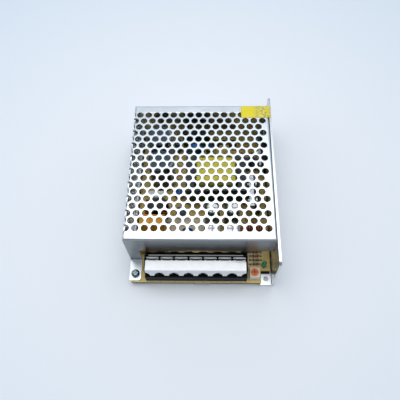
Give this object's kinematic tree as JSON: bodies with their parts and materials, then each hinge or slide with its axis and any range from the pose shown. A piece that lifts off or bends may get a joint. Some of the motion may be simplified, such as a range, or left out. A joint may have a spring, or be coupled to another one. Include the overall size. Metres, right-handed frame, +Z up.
{
  "type": "mesh case switching power supply",
  "caption": "Enclosed switching power supply with a perforated folded cover, open terminal end, screw terminals under a clear hinged flap, voltage trimmer and indicator lamp.",
  "frame": {"origin": "middle of the overall footprint, on the underside of the chassis floor", "axes": "+X across the case to the right seen from the terminal end, +Y from the terminal end to the back, +Z up"},
  "size_m": [0.098, 0.129, 0.0421],
  "materials": {
    "chassis_aluminium": "brushed, mill finish",
    "cover_steel": "bright galvanised sheet",
    "screw_steel": "nickel plated",
    "insulation_film": "matt film",
    "standoff_brass": "plated brass",
    "board_laminate": "tan laminate, green solder side",
    "terminal_plastic": "fine grained black",
    "tinned_metal": "tin plated",
    "clear_plastic": "clear polycarbonate",
    "white_plastic": "white moulded",
    "orange_plastic": "orange moulded",
    "green_plastic": "tinted epoxy",
    "resistor_body": "lacquered, banded",
    "ferrite": "ground ferrite",
    "bobbin_plastic": "dark green moulded",
    "winding_tape": "yellow polyester tape",
    "black_sleeve": "shrink sleeve, aluminium top",
    "enamelled_copper": "enamelled wire",
    "orange_case": "moulded box",
    "blue_lacquer": "blue lacquer",
    "fuse_glass": "glass tube, plated caps",
    "green_lacquer": "dark green lacquer",
    "black_epoxy": "moulded epoxy",
    "green_sleeve": "dark green sleeve, aluminium top",
    "powdered_iron": "lacquered ring",
    "sink_aluminium": "mill finish",
    "silicone_pad": "silicone",
    "driver_tape": "taped winding on a small core",
    "blue_sleeve": "shrink sleeve, aluminium top",
    "label_paper": "yellow sticker"
  },
  "bodies": {
    "case": {"chassis": "chassis_aluminium", "cover": "cover_steel", "cover_screws": "screw_steel", "foot_screw": "screw_steel", "insulation_sheet": "insulation_film", "standoffs": "standoff_brass", "board_screws": "screw_steel", "circuit_board": "board_laminate", "terminal_block": "terminal_plastic", "terminal_contacts": "tinned_metal", "flap_pin": "screw_steel", "trimmer_body": "white_plastic", "indicator_lamp": "green_plastic", "lamp_resistors": "resistor_body", "transformer_core": "ferrite", "transformer_bobbin": "bobbin_plastic", "transformer_winding": "winding_tape", "bulk_capacitor_1": "black_sleeve", "bulk_capacitor_2": "black_sleeve", "choke_core": "ferrite", "choke_bobbin": "white_plastic", "choke_windings": "enamelled_copper", "safety_capacitor": "orange_case", "disc_capacitors": "blue_lacquer", "varistor": "blue_lacquer", "fuse": "fuse_glass", "fuse_clips": "tinned_metal", "thermistor": "green_lacquer", "bridge_rectifier": "black_epoxy", "output_capacitors": "green_sleeve", "inductor_core": "powdered_iron", "inductor_winding": "enamelled_copper", "heat_sink": "sink_aluminium", "rectifier_diodes": "black_epoxy", "power_transistors": "black_epoxy", "clamp_bar": "screw_steel", "insulating_pad": "silicone_pad", "device_screws": "screw_steel", "controller_chip": "black_epoxy", "driver_transformer": "driver_tape", "small_resistors": "resistor_body", "small_capacitors": "blue_sleeve", "label": "label_paper"},
    "flap": {"terminal_flap": "clear_plastic"},
    "rotor": {"trimmer_rotor": "orange_plastic"},
    "clamp_1": {"terminal_clamp_1": "tinned_metal", "terminal_screw_1": "screw_steel"},
    "clamp_2": {"terminal_clamp_2": "tinned_metal", "terminal_screw_2": "screw_steel"},
    "clamp_3": {"terminal_clamp_3": "tinned_metal", "terminal_screw_3": "screw_steel"},
    "clamp_4": {"terminal_clamp_4": "tinned_metal", "terminal_screw_4": "screw_steel"},
    "clamp_5": {"terminal_clamp_5": "tinned_metal", "terminal_screw_5": "screw_steel"},
    "clamp_6": {"terminal_clamp_6": "tinned_metal", "terminal_screw_6": "screw_steel"},
    "clamp_7": {"terminal_clamp_7": "tinned_metal", "terminal_screw_7": "screw_steel"}
  },
  "joints": [
    {"name": "flap_hinge", "type": "hinge", "parent": "case", "child": "flap", "pos_m": [-0.0036, -0.0526, 0.0206], "axis": [-1, 0, 0], "range_deg": [0, 100]},
    {"name": "rotor_turn", "type": "hinge", "parent": "case", "child": "rotor", "pos_m": [0.0355, -0.0587, 0.011], "axis": [0, 0, 1], "range_deg": [-105, 105]},
    {"name": "clamp_lift_1", "type": "slide", "parent": "case", "child": "clamp_1", "axis": [0, 0, 1], "range_m": [0, 0.003]},
    {"name": "clamp_lift_2", "type": "slide", "parent": "case", "child": "clamp_2", "axis": [0, 0, 1], "range_m": [0, 0.003]},
    {"name": "clamp_lift_3", "type": "slide", "parent": "case", "child": "clamp_3", "axis": [0, 0, 1], "range_m": [0, 0.003]},
    {"name": "clamp_lift_4", "type": "slide", "parent": "case", "child": "clamp_4", "axis": [0, 0, 1], "range_m": [0, 0.003]},
    {"name": "clamp_lift_5", "type": "slide", "parent": "case", "child": "clamp_5", "axis": [0, 0, 1], "range_m": [0, 0.003]},
    {"name": "clamp_lift_6", "type": "slide", "parent": "case", "child": "clamp_6", "axis": [0, 0, 1], "range_m": [0, 0.003]},
    {"name": "clamp_lift_7", "type": "slide", "parent": "case", "child": "clamp_7", "axis": [0, 0, 1], "range_m": [0, 0.003]}
  ]
}
